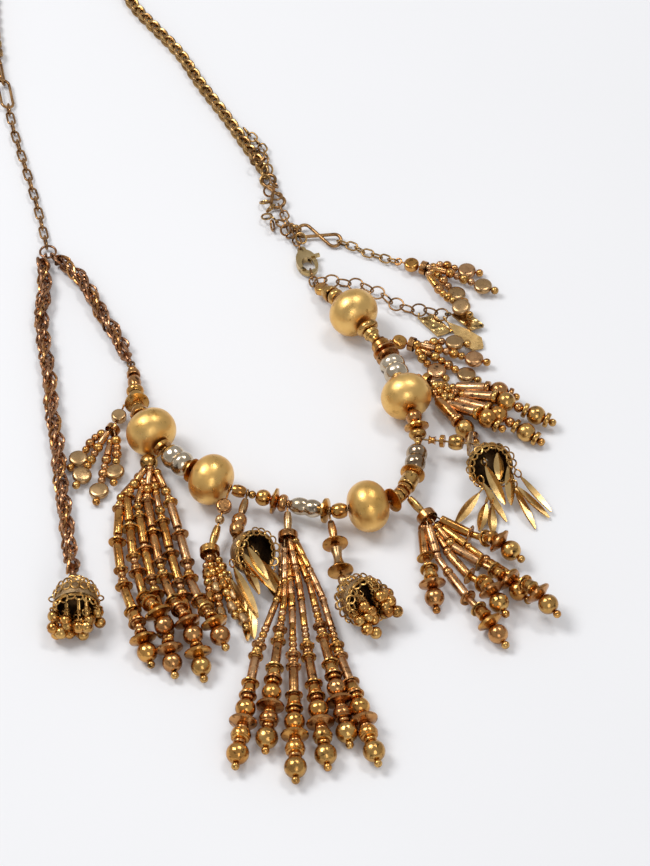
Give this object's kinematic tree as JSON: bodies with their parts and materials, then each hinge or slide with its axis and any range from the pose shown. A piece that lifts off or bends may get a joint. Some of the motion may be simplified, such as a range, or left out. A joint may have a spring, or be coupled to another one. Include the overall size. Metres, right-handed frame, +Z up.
{
  "type": "tassel necklace",
  "caption": "Long necklace of antiqued metal beads and chains with tassels, bells and charms, closed by a sprung lever clasp.",
  "frame": {"origin": "on the surface that the necklace lies on, in the middle of the neck opening", "axes": "+Z up from that surface, +Y towards the back of the neck, +X to the right in the picture"},
  "size_m": [0.2202, 0.4508, 0.0187],
  "materials": {
    "satin_gold": "satin brushed yellow gold",
    "antique_gold": "antiqued polished gold, dark in the hollows",
    "copper_gold": "polished orange copper gold",
    "silver_bronze": "uneven silver to pale bronze",
    "brown_chain": "dark antiqued bronze",
    "rope_copper": "antiqued reddish copper",
    "olive_brass": "antiqued greenish brass",
    "pale_brass": "pale pinkish brass with a soft shine",
    "thread_brown": "brown coated wire"
  },
  "bodies": {
    "necklace": {"baroque_bead_1": "silver_bronze", "baroque_bead_2": "silver_bronze", "baroque_bead_3": "silver_bronze", "baroque_bead_4": "silver_bronze", "bell_ball_right_cap": "antique_gold", "bell_ball_right_fringe": "antique_gold", "bell_ball_right_stem": "antique_gold", "bell_leaf_left_cap": "antique_gold", "bell_leaf_left_fringe": "antique_gold", "bell_leaf_left_stem": "antique_gold", "bell_leaf_right_cap": "antique_gold", "bell_leaf_right_fringe": "antique_gold", "bell_leaf_right_stem": "antique_gold", "bell_rope_cap": "antique_gold", "bell_rope_fringe": "antique_gold", "bell_rope_stem": "antique_gold", "big_bead_1": "satin_gold", "big_bead_2": "satin_gold", "big_bead_3": "satin_gold", "big_bead_4": "satin_gold", "big_bead_5": "satin_gold", "charm_diamond_1": "antique_gold", "charm_diamond_2": "antique_gold", "charm_leaf": "pale_brass", "clasp_body": "olive_brass", "clasp_rings": "brown_chain", "drop_beads": "copper_gold", "figure_eight_link_1": "brown_chain", "figure_eight_link_2": "brown_chain", "junction_ring": "rope_copper", "neck_chain_back": "antique_gold", "neck_chain_left": "brown_chain", "neck_chain_right": "brown_chain", "ring_chain": "brown_chain", "rope_chain_hanging": "rope_copper", "rope_chain_side": "rope_copper", "small_rings": "antique_gold", "string_beads_left": "copper_gold", "string_beads_right": "copper_gold", "string_thread": "thread_brown", "tassel_centre": "antique_gold", "tassel_left_coin": "pale_brass", "tassel_left_long": "antique_gold", "tassel_right_coin": "pale_brass", "tassel_right_low": "antique_gold", "tassel_right_tube": "antique_gold", "tassel_small": "antique_gold", "tassel_top_coin": "pale_brass"},
    "clasp_lever": {"clasp_lever": "olive_brass"}
  },
  "joints": [
    {"name": "clasp_lever_hinge", "type": "hinge", "parent": "necklace", "child": "clasp_lever", "pos_m": [0.05488, -0.03533, 0.0022], "axis": [0, 0, 1], "range_deg": [-25, 0], "stiffness_Nm_per_rad": 0.002}
  ]
}
